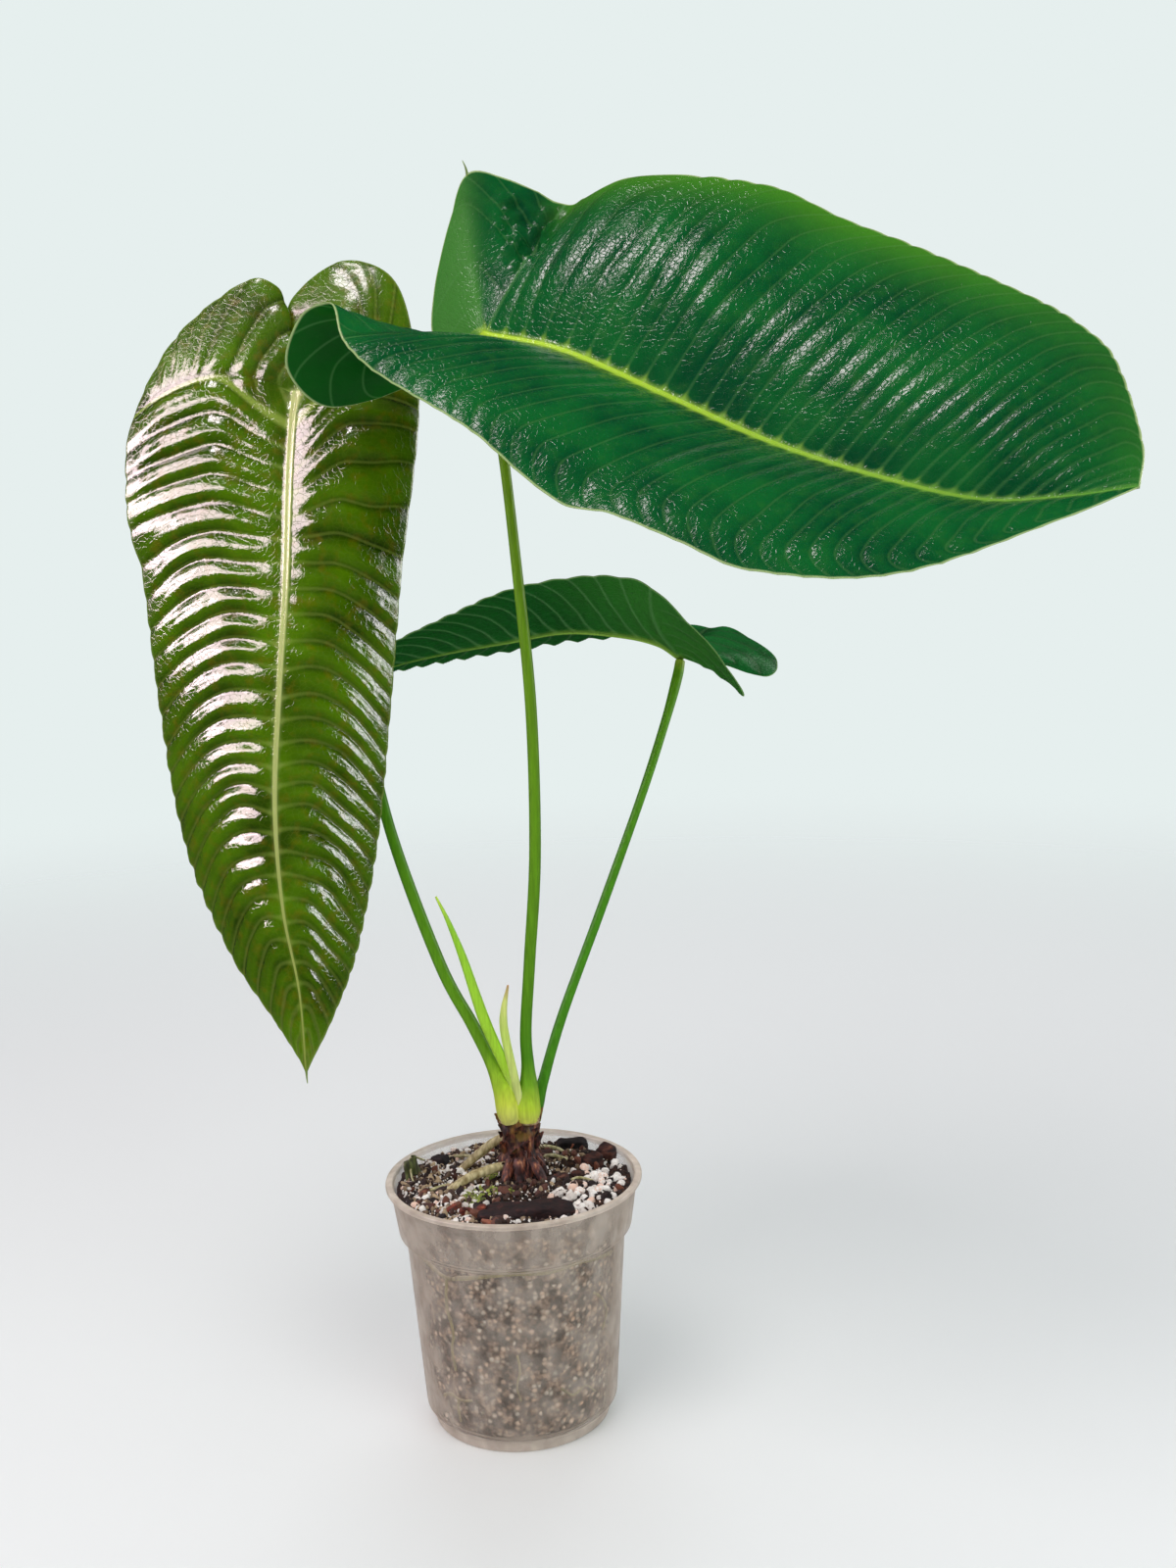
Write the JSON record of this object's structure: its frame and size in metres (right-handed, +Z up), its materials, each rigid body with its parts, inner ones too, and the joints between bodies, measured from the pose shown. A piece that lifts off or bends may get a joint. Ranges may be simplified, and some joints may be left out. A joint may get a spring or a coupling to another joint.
{
  "type": "potted king anthurium",
  "caption": "King anthurium house plant with long pleated hanging leaves, growing in a clear round nursery pot.",
  "frame": {"origin": "centre of the pot's underside, on the surface it stands on", "axes": "+Z up along the pot's axis; -Y is the side the picture shows, +X to its right, where the long green leaf points"},
  "size_m": [0.415, 0.3028, 0.5759],
  "materials": {
    "pot_plastic": "thin frosted clear plastic, the mix showing through",
    "potting_mix": "loose dark peat and bark",
    "perlite": "rough white volcanic glass foam",
    "bark": "rough reddish brown bark",
    "stem": "fibrous brown husks",
    "root": "matt tan root skin",
    "petiole": "satin green, slightly ridged",
    "new_growth": "soft yellow-green",
    "leaf_bronze": "glossy, young bronze-green blade with pale veins",
    "leaf_green": "satin blue-green blade with yellow-green midrib"
  },
  "bodies": {
    "root": {"pot": "pot_plastic", "potting_mix": "potting_mix", "perlite": "perlite", "bark_chunk": "bark", "stem": "stem", "surface_root_upper": "root", "surface_root_lower": "root", "wall_root": "root", "petiole_left": "petiole", "petiole_middle": "petiole", "petiole_right": "petiole", "new_leaf": "new_growth", "cataphyll": "new_growth", "leaf_left": "leaf_bronze", "leaf_right": "leaf_green", "leaf_back": "leaf_green"}
  },
  "joints": []
}
